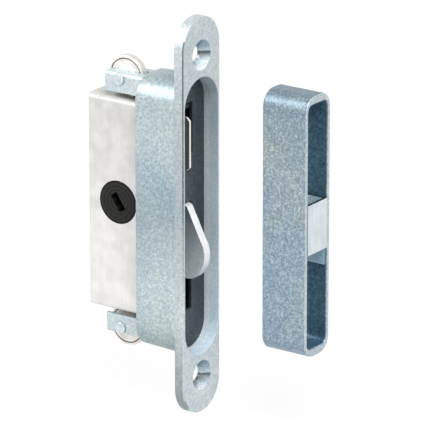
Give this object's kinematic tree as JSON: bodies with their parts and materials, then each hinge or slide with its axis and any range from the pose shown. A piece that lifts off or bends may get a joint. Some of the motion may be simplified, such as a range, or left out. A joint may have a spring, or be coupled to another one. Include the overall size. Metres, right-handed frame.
{
  "type": "door_lock",
  "caption": "Mortise lock for a sliding patio door: round-end zinc faceplate, recessed hook, roller arms, case with a keyway barrel, and a separate keeper loop",
  "frame": {"origin": "midway between the faceplate's screw holes, at the back face of the faceplate", "axes": "+Z along the faceplate towards the trigger's end, +Y from the faceplate into the door, +X out of the side away from the folded case wall"},
  "size_m": [0.0258, 0.1078, 0.1684],
  "materials": {
    "zinc_plate": "zinc plated, mottled satin",
    "case_steel": "bright satin",
    "bright_steel": "turned, bright",
    "slate_steel": "satin, darker",
    "black_plastic": "moulded black"
  },
  "bodies": {
    "lock_body": {"faceplate": "zinc_plate", "housing_band": "zinc_plate", "lock_front_plate": "slate_steel", "arm_rivets": "slate_steel", "top_arm": "zinc_plate", "bottom_arm": "zinc_plate", "top_roller_pin": "zinc_plate", "bottom_roller_pin": "zinc_plate", "lock_case": "case_steel", "case_cover": "case_steel", "case_posts": "bright_steel", "hook_pivot_pin": "bright_steel", "hook_spacers": "bright_steel", "trigger_guide_pins": "bright_steel", "trigger_spring_seat": "case_steel"},
    "hook_body": {"hook": "slate_steel", "hook_bush": "bright_steel"},
    "cam_body": {"keyway_cam": "black_plastic", "cam_arm": "bright_steel", "cam_drive_pin": "bright_steel"},
    "trigger_body": {"anti_slam_trigger": "slate_steel", "trigger_spring": "bright_steel"},
    "top_roller_body": {"top_roller": "bright_steel"},
    "bottom_roller_body": {"bottom_roller": "bright_steel"},
    "keeper_body": {"keeper_box": "zinc_plate", "keeper_bridge": "zinc_plate"}
  },
  "joints": [
    {"name": "hook_swing", "type": "hinge", "parent": "lock_body", "child": "hook_body", "pos_m": [0, 0.0156, -0.022], "axis": [1, 0, 0], "range_deg": [0, 55]},
    {"name": "cam_turn", "type": "hinge", "parent": "lock_body", "child": "cam_body", "pos_m": [0, 0.0316, 0.0015], "axis": [1, 0, 0], "range_deg": [-82.5, 0]},
    {"name": "trigger_press", "type": "slide", "parent": "lock_body", "child": "trigger_body", "axis": [0, 1, 0], "range_m": [0, 0.0015], "stiffness_N_per_m": 400, "springref_m": -0.004, "deforming": ["trigger_spring"]},
    {"name": "top_roller_turn", "type": "hinge", "parent": "lock_body", "child": "top_roller_body", "pos_m": [0, 0.0319, 0.0534], "axis": [1, 0, 0], "continuous": true},
    {"name": "bottom_roller_turn", "type": "hinge", "parent": "lock_body", "child": "bottom_roller_body", "pos_m": [0, 0.0319, -0.0534], "axis": [1, 0, 0], "continuous": true},
    {"name": "keeper_slide", "type": "slide", "parent": "lock_body", "child": "keeper_body", "axis": [0, 1, 0], "range_m": [0, 0.0346]}
  ],
  "couplings": [
    {"joint": "cam_turn", "follows": "hook_swing", "ratio": -1.5}
  ]
}
